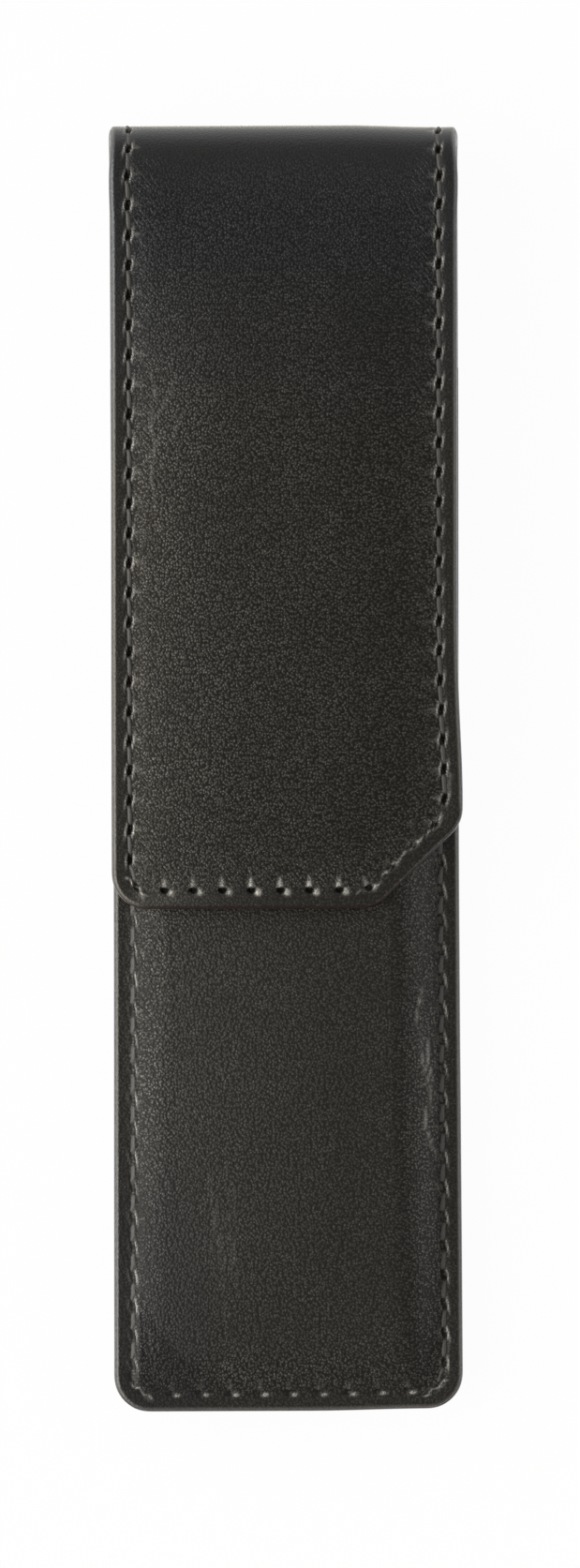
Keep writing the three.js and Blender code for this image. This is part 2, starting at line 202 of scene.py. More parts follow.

# Leather drawn in by the stitches, in millimetres, and the weights of its marks; the last three say how
# bright the painted glints on lips, spikes and knots are
CHANNEL_DEPTH = 0.12
CHANNEL_WIDTH = 0.42
MARK_REACH = 3.2
PIT_DEPTH = 0.6
PIT_LENGTH = 0.62
PIT_WIDTH = 0.33
PIT_SHORTER = 0.14
HOLE_LEAN = 0.2
PULL_RANGE = (0.6, 1.3)
KNOT_HEIGHT = 1.3
LIP_GLINT = 2.0
SPIKE_GLINT = 1.3
KNOT_GLINT = 2.0

# Fine creases, in millimetres: x, s and the step to the other end; the flap's s counts from its free edge
CREASE_WIDTH = 0.12
CREASE_WAVE = 0.2
FLAP_CREASES = (
    (-17.6, -58.5, 3.2, -5.5),
    (-16.2, -60.5, 3.2, -5.5),
    (-15.0, -57.0, 3.2, -5.5),
    (-16.7, -70.0, 0.2, 24.0),
    (-17.9, -54.0, 2.4, -5.0),
)
FRONT_CREASES = (
    (16.9, 53.5, -0.4, -6.5),
    (16.5, 48.5, 2.0, -12.5),
    (17.5, 47.0, 1.0, -7.0),
    (16.9, 39.0, 1.8, -8.0),
)
FRONT_WRINKLES = (
    *((-9.6 + 0.7 * k, 33.0 - 4 * (k % 3), 0.4, -17.0) for k in range(5)),
    (-18.6, 63.0, 3.8, -3.4),
)

# The divider's looks: how much its foot narrows at the ends, and how its web waves, in millimetres
DIVIDER_TAPER = 0.55
TAPER_REACH = 1.2
WEB_WAVE = 0.25
WEB_WAVE_RUN = 9.0

# The photograph's frame: pixels, millimetres from the camera to the case, the camera's place and roll
IMAGE_HEIGHT = 1673
PIXELS_PER_MM = 8.64
CAMERA_DISTANCE = 1100.0
CAMERA_X = 0.5
CAMERA_Y = -1.8
CAMERA_ROLL = -0.25

# The floor's half width in metres, and the share of its plain white glow
FLOOR_HALF = 3.0
FLOOR_GLOW = 0.96


def rise(value, start, stop):
    """0 up to start, 1 from stop on, with level ends."""
    t = np.clip((value - start) / (stop - start), 0, 1)
    return t * t * (3 - 2 * t)


def fall(value, start, stop):
    """1 up to start, 0 from stop on, with level ends."""
    return 1 - rise(value, start, stop)


def bell(value, centre, width):
    return np.exp(-(((value - centre) / width) ** 2))


def lesser(value, limit, soft):
    """The smaller of value and limit, with a soft corner."""
    return (value + limit - np.sqrt((value - limit) ** 2 + soft**2)) / 2


def on_spine(s):
    """1 on the spine and its folds, 0 on the flats."""
    return rise(s, S_BACK - 4, S_BACK + 2) * fall(s, S_FLAP - 2, S_FLAP + 4)


# Places: the strip of back, spine and flap, and the domed front of the pocket


def as_grids(*values):
    return np.broadcast_arrays(*(np.asarray(value, float) for value in values))


def body_trim(s):
    """How much narrower the body is half way up, on each side."""
    return BODY_TRIM * bell(s, BODY_TRIM_CENTRE, BODY_TRIM_REACH)


def end_shift(x, s):
    """How much shorter the body is at its closed end, most on the right."""
    return (END_TRIM + SLANT * rise(x, *END_SLANT)) * fall(s, 0, END_TRIM_RUN)


def strip_across(x, s):
    """Place across the strip, narrowed at its sides and flared near the flap's free edge."""
    side = x / HALF
    trim = EDGE_TRIM + body_trim(s) + WAIST * bell(s, FRONT_FOLD, WAIST_REACH)
    trim = trim + FLAP_TRIM * rise(s - S_FLAP, *FLAP_TRIM_RUN)
    flare = FLARE * rise(side, 0, 1) * bell(s, S_END - FLARE_SETBACK, FLARE_REACH)
    return x - side * trim - FLAP_SKEW * rise(s, S_FLAP, S_FLAP + SKEW_RUN) + flare


def flap_drop(x, s):
    """How far the flap lies below its flat shape: crowned across and drooping towards its free edge."""
    across = np.maximum(lesser(np.abs(x / HALF), CROWN_LIMIT, CROWN_SOFT), 0)
    crown = CROWN * across**CROWN_POWER * rise(s, S_FLAP, S_FLAP + CROWN_RUN)
    return crown + DROOP * rise(s, S_FLAP, S_END)


def strip(x, s, n):
    """Points of the wrapped strip: x across, s along its outside from the back's end, n below its outside."""
    x, s, n = as_grids(x, s, n)
    radius = SPINE_RADIUS - n - flap_drop(x, s)
    x = strip_across(x, s)
    back_turn = np.clip((s - S_BACK) / SPINE_RADIUS, 0, math.pi / 2)
    front_turn = np.clip((s - S_SPINE_END) / SPINE_RADIUS, 0, math.pi / 2)
    y = BOTTOM + np.minimum(s, S_BACK) + radius * np.sin(back_turn) * np.cos(front_turn)
    y = y - np.maximum(s - S_FLAP, 0) + end_shift(x, s) - SLANT * rise(x, *SPINE_SLANT) * on_spine(s)
    z = SPINE_RADIUS - radius * np.cos(back_turn) + radius * np.sin(front_turn)
    z = z + np.clip(s - S_SPINE, 0, S_SPINE_END - S_SPINE)
    return np.stack([x, y, z], -1) * MM


def strip_core(x, s, n):
    """The strip, with n counted from under its outer leather."""
    return strip(x, s, UNDER_LEATHER + n)


def strip_inside(x, s, n):
    """The strip, with n counted outwards from its lining."""
    return strip(x, s, PANEL - n)


def dome_height(x, s):
    """Height of the pocket's outside over the hem: steepest at the seam, rounded into its corners."""
    insets = [inset - RISE for inset in (HALF + x, HALF - x, s)]
    insets = [(inset + np.sqrt(inset**2 + RISE_SOFT**2)) / 2 for inset in insets]
    height = 0
    for share, *levels in SHOULDERS:
        short = sum(np.clip(1 - inset / level, 0, 1) ** 3 for inset, level in zip(insets, levels))
        height = height + share * (1 - np.minimum(short ** (1 / 3), 1) ** 2)
    return (FLAT_TOP - HEM_TOP - SETTLE) * height


def pocket(x, s, n):
    """Points of the pocket's front: x across, s up from the closed end, n below its outside."""
    x, s, n = as_grids(x, s, n)
    step = 0.05
    slope_x = (dome_height(x + step, s) - dome_height(x - step, s)) / (2 * step)
    slope_s = (dome_height(x, s + step) - dome_height(x, s - step)) / (2 * step)
    normal = np.stack([-slope_x, -slope_s, np.ones_like(x)], -1)
    normal /= np.linalg.norm(normal, axis=-1, keepdims=True)
    narrow = x / HALF * (EDGE_TRIM + body_trim(s))
    outside = np.stack([x - narrow, BOTTOM + s + end_shift(x, s), HEM_TOP + dome_height(x, s)], -1)
    return (outside - n[..., None] * normal) * MM


def pocket_core(x, s, n):
    """The pocket's front, with n counted from under its outer leather."""
    return pocket(x, s, UNDER_LEATHER + n)


def pocket_inside(x, s, n):
    """The pocket's front, with n counted outwards from its lining."""
    return pocket(x, s, FRONT - n)


# Lines in the flat pattern


def rounded(corners, radius, steps=12):
    """An open line through corners, with each inner corner rounded."""
    corners = [np.array(c, float) for c in corners]
    points = [corners[0]]
    for before, corner, after in zip(corners, corners[1:], corners[2:]):
        back = (before - corner) / np.linalg.norm(before - corner)
        on = (after - corner) / np.linalg.norm(after - corner)
        half = math.acos(np.clip(back @ on, -1, 1)) / 2
        middle = (back + on) / np.linalg.norm(back + on)
        centre = corner + middle * radius / math.sin(half)
        arm = corner + back * radius / math.tan(half) - centre
        turn = (math.pi - 2 * half) * -np.sign(back[0] * on[1] - back[1] * on[0])
        for angle in np.linspace(0, turn, steps):
            c = math.cos(angle)
            v = math.sin(angle)
            points.append(centre + [arm[0] * c - arm[1] * v, arm[0] * v + arm[1] * c])
    return np.array([*points, corners[-1]])


def resample(line, count):
    """Evenly spaced points of a line, and its direction there."""
    lengths = np.r_[0, np.cumsum(np.linalg.norm(np.diff(line, axis=0), axis=1))]
    where = np.linspace(0, lengths[-1], count + 1)
    points = np.stack([np.interp(where, lengths, line[:, k]) for k in (0, 1)], -1)
    along = np.gradient(points, axis=0)
    return points, along / np.linalg.norm(along, axis=1, keepdims=True)


def line_length(line):
    return float(np.linalg.norm(np.diff(line, axis=0), axis=1).sum())


def distance_to(line, x, s):
    """Distance of each point to the nearest place of a line."""
    best = np.full(np.shape(x), np.inf)
    for a, b in zip(line, line[1:]):
        span = b - a
        t = ((x - a[0]) * span[0] + (s - a[1]) * span[1]) / max(span @ span, 1e-12)
        t = np.clip(t, 0, 1)
        best = np.minimum(best, np.hypot(x - a[0] - t * span[0], s - a[1] - t * span[1]))
    return best


def corner_radius(inset):
    return max(CORNER_RADIUS - inset, LEAST_CORNER)


def back_line(inset, top):
    """The back's outline from one side round its end to the other, at an inset."""
    x = HALF - inset
    return rounded([(x, top), (x, inset), (-x, inset), (-x, top)], corner_radius(inset))


def flap_line(inset, start):
    """The flap's outline from one side round its free edge and cut corner to the other, at an inset."""
    x = HALF - inset
    leg = CORNER_CUT + inset * (math.sqrt(2) - 1)
    corners = [(-x, start), (-x, S_END - inset), (HALF - leg, S_END - inset), (x, S_END - leg), (x, start)]
    return rounded(corners, corner_radius(inset))


def inner_back_lines():
    """The two rows of stitches that show on the back's lining, over the mouth."""
    x = HALF - SEAM_INSET
    return [np.array([(side * x, S_MOUTH + SEAM_INSET), (side * x, S_MIDDLE)]) for side in (-1, 1)]


def seam_holes(line):
    """Stitch holes along a line, and the line's direction at each."""
    return resample(line, int(round(line_length(line) / STITCH)))


# Meshes


def make_object(name, vertices, faces, pattern, material, **marks):
    """A smooth mesh that keeps its place in the flat pattern, and other marks, for the materials."""
    mesh = bpy.data.meshes.new(name)
    mesh.from_pydata(np.asarray(vertices).reshape(-1, 3).tolist(), [], faces)
    mesh.update()
    for key, values in {"pattern": pattern, **marks}.items():
        attribute = mesh.attributes.new(key, "FLOAT_VECTOR", "POINT")
        attribute.data.foreach_set("vector", np.asarray(values, np.float32).ravel())
    mesh.polygons.foreach_set("use_smooth", [True] * len(mesh.polygons))
    mesh.set_sharp_from_angle(angle=math.radians(SHARP_EDGE))
    mesh.materials.append(material)
    made = bpy.data.objects.new(name, mesh)
    bpy.context.scene.collection.objects.link(made)
    return made


def loft_faces(rows, count, first=0):
    """Faces of a closed skin over rows of rings, with both ends shut."""
    faces = []
    for row in range(rows - 1):
        start = first + row * count
        for k in range(count):
            a = start + k
            b = start + (k + 1) % count
            faces.append((a, b, b + count, a + count))
    faces.append(tuple(first + k for k in reversed(range(count))))
    faces.append(tuple(first + (rows - 1) * count + k for k in range(count)))
    return faces


def slab(name, place, x, s, top, deep, material, flip=False, **marks):
    """A closed sheet: its shown side at depth top over the grid x, s, its other side at depth deep."""
    rows, columns = x.shape
    picks = np.unique(np.linspace(0, columns - 1, UNDERSIDE_COLUMNS).round().astype(int))[::-1]
    ring_x = np.concatenate([x, x[:, picks]], 1)
    ring_s = np.concatenate([s, s[:, picks]], 1)
    under = np.maximum(deep, top[:, picks] + THINNEST)
    ring_n = np.concatenate([top, under], 1)
    vertices = place(ring_x, ring_s, ring_n)
    faces = loft_faces(rows, ring_x.shape[1])
    if flip:
        faces = [face[::-1] for face in faces]
    pattern = np.stack([ring_x, ring_s, ring_n], -1)
    marks = {key: np.concatenate([values, values[:, picks]], 1) for key, values in marks.items()}
    return make_object(name, vertices, faces, pattern, material, **marks)


def spaced(start, stop, step):
    return np.linspace(start, stop, max(2, int(round((stop - start) / step)) + 1))


def graded(length, coarse, fine):
    """Places from 0 to length, close at both ends and along the stitch lines there."""
    near = np.concatenate([RIM_ROWS, spaced(*SEAM_ROWS, fine), spaced(*INNER_ROWS, 2 * fine)])
    flat = spaced(FLAT_START, length - FLAT_START, coarse)
    return np.concatenate([near, flat, (length - near)[::-1]])


def strip_grid(start, stop, coarse, fine):
    """Grid of the flat strip between two stations, fitted to its rounded and cut corners."""
    s = spaced(start, stop, coarse)
    near = graded(2.5 * END_ZONE, coarse, fine)
    near = near[near < END_ZONE]
    if start == 0:
        s = np.concatenate([near, s[s >= END_ZONE]])
    if stop == S_END:
        s = np.concatenate([s[s < S_END - END_ZONE], S_END - near[::-1]])
    left = rounded([(0, 0), (-HALF, 0), (-HALF, S_END), (0, S_END)], CORNER_RADIUS)[1:-1]
    cut = [(HALF, S_END - CORNER_CUT), (HALF - CORNER_CUT, S_END)]
    right = rounded([(0, 0), (HALF, 0), *cut, (0, S_END)], CORNER_RADIUS)[1:-1]
    low, high = (np.interp(s, edge[:, 1], edge[:, 0]) for edge in (left, right))
    share = graded(WIDTH, coarse, fine) / WIDTH
    x = low[:, None] + (high - low)[:, None] * share[None, :]
    return x, np.repeat(s[:, None], x.shape[1], 1)


def layer_grid(start, stop, margin):
    """Grid of an inner layer of the strip, which keeps a margin from the outline but not from a fold."""
    x, s = strip_grid(start, stop, *PLAIN_MESH)
    low = margin if start == 0 else start
    high = S_END - margin if stop == S_END else stop
    return x * (1 - margin / HALF), np.clip(s, low, high)


def pocket_grid(coarse, fine, margin=0.0):
    """Grid of the pocket's front, close at the mouth, with a margin from the outline."""
    x, s = strip_grid(0, S_MOUTH, coarse, fine)
    mouth = S_MOUTH - np.array(MOUTH_ROWS)
    keep = s[:, 0] < S_MOUTH - MOUTH_ZONE
    x = np.concatenate([x[keep], np.repeat(x[-1:], len(mouth), 0)])
    s = np.concatenate([s[keep], np.repeat(mouth[:, None], x.shape[1], 1)])
    return x * (1 - margin / HALF), np.clip(s, margin, S_MOUTH - margin)


def rim_drop(inset, radius):
    """How far a rounded rim lies below the surface at a distance from the edge."""
    short = np.clip(radius - inset, 0, radius)
    return radius - np.sqrt(np.maximum(radius**2 - short**2, 0))


def swell(x, s, size, height, seed):
    """Slow unevenness of soft leather."""
    total = np.zeros(np.shape(x))
    turns = np.random.default_rng(seed).uniform(0, 2 * math.pi, (SWELL_WAVES, 2))
    for k, (turn, phase) in enumerate(turns):
        pitch = size * (1 + SWELL_SPREAD * k)
        total += np.sin((x * math.cos(turn) + s * math.sin(turn)) * 2 * math.pi / pitch + phase)
    return height * total / (SWELL_WAVES / 2)


def leather_finish(inset, fold, keep=1.0):
    """Three shares for the leather: smoothed by rim and fold, drawn into lines inside the seam, browned.

    Keep is the share of browning that the rim keeps."""
    smooth = np.maximum(0.75 * fall(inset, 1.2, 3.2), fold)
    drawn = rise(inset, 2.0, 2.8) * fall(inset, 3.0, 8.0) * (1 - fold)
    worn = np.maximum(0.3 * fold, keep * fall(inset, 0.25, 0.5))
    return np.stack([smooth, drawn, worn], -1)


# Marks round a stitch hole: along the row, out across it; across is 1 on a row that runs across the strip


def pit_share(along, out, across):
    """The hole itself, shorter on a row across the strip."""
    return fall(np.hypot(along / (PIT_LENGTH - PIT_SHORTER * across), out / PIT_WIDTH), 0.7, 1.3)


def spike_share(along, out, across):
    """A pucker that tapers away from the hole, mostly on a row across the strip."""
    width = 0.26 * rise(out, -2.6, -0.4) + 0.02
    length = fall(out, -0.4, -0.2) * rise(out, -2.2, -0.4)
    return bell(along, -0.1, width) * length * (0.25 + 0.75 * across)


def lip_share(along, out, across):
    """Raised lips on both sides of a hole, on a row along the strip."""
    return 0.6 * bell(along, 0.1, 0.8) * bell(np.abs(out), 0.46, 0.11) * (1 - across)


def knot_share(dx, out, across, tick):
    """Leather bunched beside a hole, on a row across the strip; tick is its height."""
    return bell(dx, 0.8, 0.32) * bell(out, 0.25, tick) * across


def dimple_share(along, out):
    """The hollow between two puckers."""
    return 0.35 * bell(along, 0.0, 0.9) * bell(out, -0.9, 0.7)


def streak_share(along, out):
    """A wavy streak along the row."""
    return bell(out + 0.15 * np.sin(4 * along), 0, 0.1) * fall(np.abs(along), 1.4, 2.0)


def seam_relief(x, s, line, holes, pinch, seed=1, spikes=1.0, knots=1.0, gape=1.0, tick=0.32, left_lip=1.0):
    """How far the leather is drawn in along a seam: a channel, a pit at each hole and puckers round it.

    Pinch is the height of the puckers, spikes and knots say how bright their painted glints are, gape how
    open each hole is, tick how tall a knot is, and left_lip how much of a hole's left lip there is, with its
    relief and its painted glint.
    Also gives three shares for the material: the pit, painted dark as the shade in the hole; painted glints,
    a whitish colour that stands for the highlights on lips, spikes, knots and streaks; and a third share left
    at 0, which callers fill with painted shade."""
    relief = CHANNEL_DEPTH * bell(distance_to(line, x, s), 0, CHANNEL_WIDTH)
    shares = np.zeros((*np.shape(x), 3))
    count = len(holes[0])
    pulls = np.random.default_rng(seed).uniform(*PULL_RANGE, count)
    opens = np.broadcast_to(gape, count)
    for (hole_x, hole_s), (along_x, along_s), pull, wide in zip(*holes, pulls, opens):
        near = (np.abs(x - hole_x) < MARK_REACH) & (np.abs(s - hole_s) < MARK_REACH)
        dx = x[near] - hole_x
        ds = s[near] - hole_s
        along = dx * along_x + ds * along_s
        out = ds * along_x - dx * along_s
        across = abs(along_x)
        slanted = 4 * along_x**2 * along_s**2
        leaned = out - HOLE_LEAN * along * (1 - across)
        pit = wide * pit_share(along, leaned, across) * (1 - 0.5 * slanted)
        spike = spike_share(along, out, across)
        lip = lip_share(along, leaned, across) * np.where(dx < 0, left_lip, 1.0)
        knot = knot_share(dx, out, across, tick)
        streak = streak_share(along, out) * slanted
        puckers = spike + lip + KNOT_HEIGHT * knot + streak - dimple_share(along, out)
        # Painted glints: a whitish colour on the lips, spikes, knots and streaks, standing for their
        # highlights
        painted_glint = LIP_GLINT * lip + SPIKE_GLINT * spikes * spike + KNOT_GLINT * knots * knot
        painted_glint = pull * painted_glint * (1 - 0.85 * slanted) + knots * streak
        relief[near] += PIT_DEPTH * pit - pinch * pull * puckers
        # The pit's share paints the hole dark, as its shade
        shares[near, 0] = np.maximum(shares[near, 0], pit)
        shares[near, 1] = np.maximum(shares[near, 1], painted_glint * (1 - 0.7 * pit))
    return relief, shares


def press_creases(n, holes, x, s, lines, depth, white):
    """Press fine crease lines, which fade out at their ends, into depth n, and paint glints along their
    grooves into holes, as bright as white says.
    """
    for start_x, start_s, step_x, step_s in lines:
        length = math.hypot(step_x, step_s)
        a = ((x - start_x) * step_x + (s - start_s) * step_s) / length
        b = ((s - start_s) * step_x - (x - start_x) * step_s) / length
        b = b + CREASE_WAVE * np.sin(0.9 * a + start_x)
        fade = rise(a, 0, 0.25 * length) * fall(a, 0.6 * length, length)
        ridge = bell(b, 1.6 * CREASE_WIDTH, CREASE_WIDTH)
        groove = bell(b, 0, CREASE_WIDTH)
        n += depth * fade * (ridge - groove)
        holes[..., 1] = np.maximum(holes[..., 1], white * fade * groove)


def stitch_row(name, lines, place, sink=1.0, proud=-0.15, lift=0.0):
    """Stitches of twisted thread along lines of the pattern, each dipping into its holes.

    Sink is how deep they dive, proud how high they stand, and lift raises those on the right side."""
    t = np.linspace(0, 1, STITCH_RINGS)[:, None]
    angle = np.linspace(0, 2 * math.pi, STITCH_SIDES, endpoint=False)[None, :]
    dive = rise(np.abs(2 * t - 1), 0.5, 0.8)
    radius = THREAD_RADIUS * (1 + TWIST_DEPTH * np.cos(2 * angle - THREAD_TWIST * t))
    side = THREAD_SLANT * (2 * t - 1) + radius * np.cos(angle)
    vertices, pattern, faces = [], [], []
    for line in lines:
        holes, _ = seam_holes(line)
        for a, b in zip(holes, holes[1:]):
            along = (b - a) / np.linalg.norm(b - a)
            x = a[0] + (b - a)[0] * t + along[1] * side
            s = a[1] + (b - a)[1] * t - along[0] * side
            height = proud + (SPINE_PROUD - proud) * on_spine((a + b)[1] / 2) - END_SINK * abs(along[0])
            height += lift * (a[0] > RIGHT_SEAM)
            n = sink * dive - height * (1 - dive) + radius * np.sin(angle)
            faces += loft_faces(STITCH_RINGS, STITCH_SIDES, first=len(vertices) * STITCH_RINGS * STITCH_SIDES)
            vertices.append(place(x, s, n).reshape(-1, 3))
            pattern.append(np.stack([x, s, n], -1).reshape(-1, 3))
    return make_object(name, np.concatenate(vertices), faces, np.concatenate(pattern), THREAD)


def edge_band(name, line, place, deep):
    """The painted edge: a thin rounded band over the cut layers, along an outline, down to depth deep."""
    points, along = resample(line, int(line_length(line) / BAND_STEP))
    outward = np.stack([along[:, 1], -along[:, 0]], -1)
    if ((points - points.mean(0)) * outward).sum() < 0:
        outward = -outward
    turn = np.linspace(0, math.pi, BAND_POINTS)
    out = np.concatenate([BAND_BULGE * np.sin(turn) - BAND_SINK, [-BAND_ROOT, -BAND_ROOT]])
    round_depth = (BAND_TOP + deep) / 2 - (deep - BAND_TOP) / 2 * np.cos(turn)
    x = points[:, :1] + outward[:, :1] * out
    s = points[:, 1:] + outward[:, 1:] * out
    n = np.broadcast_to(np.concatenate([round_depth, [deep, BAND_TOP]]), x.shape)
    dull = np.repeat(rise(along[:, :1] ** 2, 0, 0.5), len(out), 1)
    faces = loft_faces(len(points), len(out))
    pattern = np.stack([x, s, n], -1)
    return make_object(name, place(x, s, n), faces, pattern, EDGE, finish=np.stack([dull] * 3, -1))


# Materials

# Places of the colour sockets on a mix node
MIX_A = 6
MIX_B = 7
MIX_RESULT = 2


class Tree:
    """A node tree with short ways to add and link nodes."""

    def __init__(self, tree):
        self.tree = tree

    def put(self, socket, value):
        """Link a socket to another one, or set its value."""
        if isinstance(value, bpy.types.NodeSocket):
            self.tree.links.new(value, socket)
        else:
            socket.default_value = value

    def add(self, kind, inputs=None, **settings):
        node = self.tree.nodes.new(kind)
        for key, value in settings.items():
            setattr(node, key, value)
        for key, value in (inputs or {}).items():
            self.put(node.inputs[key], value)
        return node

    def between(self, value, low, high, to_low, to_high):
        """A value taken from one range to another, and held inside it."""
        values = {"Value": value, "From Min": low, "From Max": high, "To Min": to_low, "To Max": to_high}
        return self.add("ShaderNodeMapRange", values).outputs["Result"]

    def math(self, operation, result, *others):
        """One operation over two or more values, from the first on."""
        for other in others:
            result = self.add("ShaderNodeMath", {0: result, 1: other}, operation=operation).outputs[0]
        return result

    def mix(self, factor, a, b):
        """A colour between a and b."""
        node = self.add("ShaderNodeMix", {"Factor": factor}, data_type="RGBA")
        for key, colour in ((MIX_A, a), (MIX_B, b)):
            linked = isinstance(colour, bpy.types.NodeSocket)
            self.put(node.inputs[key], colour if linked else (*colour, 1))
        return node.outputs[MIX_RESULT]


class Material(Tree):
    """A material whose textures follow the flat pattern of its piece."""

    def __init__(self, name):
        self.material = bpy.data.materials.new(name)
        self.material.use_nodes = True
        super().__init__(self.material.node_tree)
        self.shader = self.tree.nodes["Principled BSDF"]
        self.pattern = self.add("ShaderNodeAttribute", attribute_name="pattern").outputs["Vector"]

    def shares(self, name):
        """The three shares in one of the mesh's marks."""
        vector = self.add("ShaderNodeAttribute", attribute_name=name).outputs["Vector"]
        return self.add("ShaderNodeSeparateXYZ", {"Vector": vector}).outputs

    def vector(self, operation, a, b):
        return self.add("ShaderNodeVectorMath", {0: a, 1: b}, operation=operation).outputs[0]

    def noise(self, scale, detail=3.0, roughness=0.55, vector=None):
        values = {"Vector": vector or self.pattern, "Scale": scale, "Detail": detail, "Roughness": roughness}
        return self.add("ShaderNodeTexNoise", values).outputs["Fac"]

    def bump(self, height, distance, normal=None):
        values = {"Height": height, "Distance": distance * MM, "Strength": 1.0}
        if normal is not None:
            values["Normal"] = normal
        return self.add("ShaderNodeBump", values).outputs["Normal"]

    def finish(self, **sockets):
        """Set or link the shader's inputs."""
        for key, value in sockets.items():
            self.put(self.shader.inputs[key.replace("_", " ")], value)
        return self.material


def wobbled(m):
    """The flat pattern, slightly stirred, so that the grain's cells aren't straight sided."""
    stir = m.add("ShaderNodeTexNoise", {"Vector": m.pattern, "Scale": 2.2, "Detail": 2.0}).outputs["Color"]
    return m.vector("ADD", m.pattern, m.vector("MULTIPLY", stir, (0.42, 0.42, 0.0)))


def drawn_lines(m, drawn, lean):
    """Short lines that lean towards a seam, where the leather is drawn in."""
    values = {"Vector": m.pattern, "Rotation": (0, 0, lean), "Scale": (0.3, 2.2, 1)}
    turned = m.add("ShaderNodeMapping", values, vector_type="TEXTURE").outputs[0]
    return m.math("MULTIPLY", m.between(m.noise(1.0, 2.0, 0.5, turned), 0.5, 0.75, 0.0, 1.0), drawn)


WARM_TINT = (1.0, 0.95, 0.84)
COOL_TINT = (0.895, 0.93, 0.985)
# The colour of the stitch holes, painted dark as their shade
PIT_SHADE_COLOUR = (0.014, 0.0132, 0.012)


def leather(name, colours, grain=1.0, lean=-0.7, tint=WARM_TINT, shade_tint=COOL_TINT):
    """Smooth calf leather: small pebbles with lighter crests over dull valleys, smoother and browned at the
    folds.

    Colours are those of valleys, partly painted shade between the pebbles; crests, partly painted glints on
    them; browned rims;
    and the whitish painted glints round stitches and on creases. Grain scales the bumps, lean turns the drawn
    lines, and the shine's tint turns to the other tint given where painted shade dims the crests."""
    m = Material(name)
    valley, crest, brown, white = colours
    smooth, drawn, worn = m.shares("finish")
    pit, pull, shade_share = m.shares("holes")
    place = wobbled(m)
    cells = m.add("ShaderNodeTexVoronoi", {"Vector": place, "Scale": 2.8}, voronoi_dimensions="2D").outputs
    each = m.add("ShaderNodeSeparateColor", {"Color": cells["Color"]}).outputs[0]
    fine = m.noise(7.0, 3.0, 0.6, place)
    lines = drawn_lines(m, drawn, lean)
    field = m.between(smooth, 0.0, 1.0, 1.0, 0.25)

    # Bumps: the drawn lines, then pebbles with a fine roughness
    pebbles = m.between(cells["Distance"], 0.0, 0.7, 1.0, 0.0)
    height = m.math("ADD", m.math("MULTIPLY", pebbles, field), m.math("MULTIPLY", fine, 0.25))
    normal = m.bump(height, 0.06 * grain, m.bump(lines, 0.12 * grain))

    # Tone: how light each ragged crest is, partly as painted glints, uneven from cell to cell and in small
    # and large patches
    ragged = m.math("ADD", cells["Distance"], m.between(fine, 0.3, 0.7, 0.2, -0.2))
    crests = m.between(ragged, 0.44, 0.0, 0.0, 1.45)
    uneven = m.between(each, 0.0, 1.0, 0.3, 1.2)
    slow = m.between(m.noise(0.09, 3.0, 0.5), 0.3, 0.7, 0.75, 1.2)
    patches = m.between(m.noise(0.8, 2.0, 0.5), 0.35, 0.65, 0.7, 1.3)
    # Painted shade: the crests are dimmed where the third share of holes is marked
    shaded_crests = m.between(shade_share, 0.0, 1.0, 1.0, 0.55)
    tone = m.math("MULTIPLY", crests, uneven, field, slow, patches, shaded_crests)
    tone = m.math("ADD", tone, m.between(smooth, 0.0, 1.0, 0.0, 0.2), m.math("MULTIPLY", lines, 0.35))

    # Colour and shine follow the tone; the whitish colour of the painted glints round stitches and on creases
    # goes in, and holes are painted dark as their shade
    glint = m.math("MULTIPLY", pull, m.between(fine, 0.38, 0.6, 0.15, 1.5))
    colour = m.mix(worn, m.mix(tone, valley, crest), brown)
    colour = m.mix(pit, m.mix(glint, colour, white), PIT_SHADE_COLOUR)
    polish = m.math("MAXIMUM", m.math("MULTIPLY", tone, 0.8), worn, glint)
    shine = m.math("MULTIPLY", m.between(polish, 0.0, 1.0, 0.27, 1.3), m.between(pit, 0.0, 1.0, 1.0, 0.1))
    rough = m.between(m.math("MAXIMUM", tone, smooth), 0.0, 1.0, 0.45, 0.34)
    sheen = m.between(worn, 0.0, 0.3, 0.0, 1.0)
    m.finish(Sheen_Weight=sheen, Sheen_Roughness=0.23, Sheen_Tint=(1.0, 0.94, 0.75, 1))
    # The shine's tint turns cooler where painted shade is marked
    m.finish(Specular_IOR_Level=shine, Specular_Tint=m.mix(shade_share, tint, shade_tint))
    return m.finish(Base_Color=colour, Roughness=rough, Normal=normal)


def painted_edge():
    """Black edge paint, worn to brown in places, over the slightly uneven cut layers."""
    m = Material("edge_paint")
    layers = m.noise(0.9, 3.0, 0.6, m.vector("MULTIPLY", m.pattern, (0.5, 0.5, 6.0)))
    specks = m.noise(4.0, 3.0, 0.6)
    dull = m.shares("finish")[0]
    worn = m.math("MAXIMUM", m.between(m.noise(0.35, 4.0, 0.65), 0.55, 0.75, 0.0, 1.0), dull)
    colour = m.mix(worn, (0.012, 0.011, 0.01), (0.03, 0.016, 0.013))
    rough = m.between(layers, 0.3, 0.7, 0.2, 0.38)
    normal = m.bump(specks, 0.06, m.bump(layers, 0.05))
    bright = m.between(dull, 0.0, 1.0, 1.0, 0.15)
    shine = m.math("MULTIPLY", bright, m.between(specks, 0.35, 0.65, 0.7, 1.3))
    return m.finish(Base_Color=colour, Roughness=rough, Normal=normal, Specular_IOR_Level=shine)


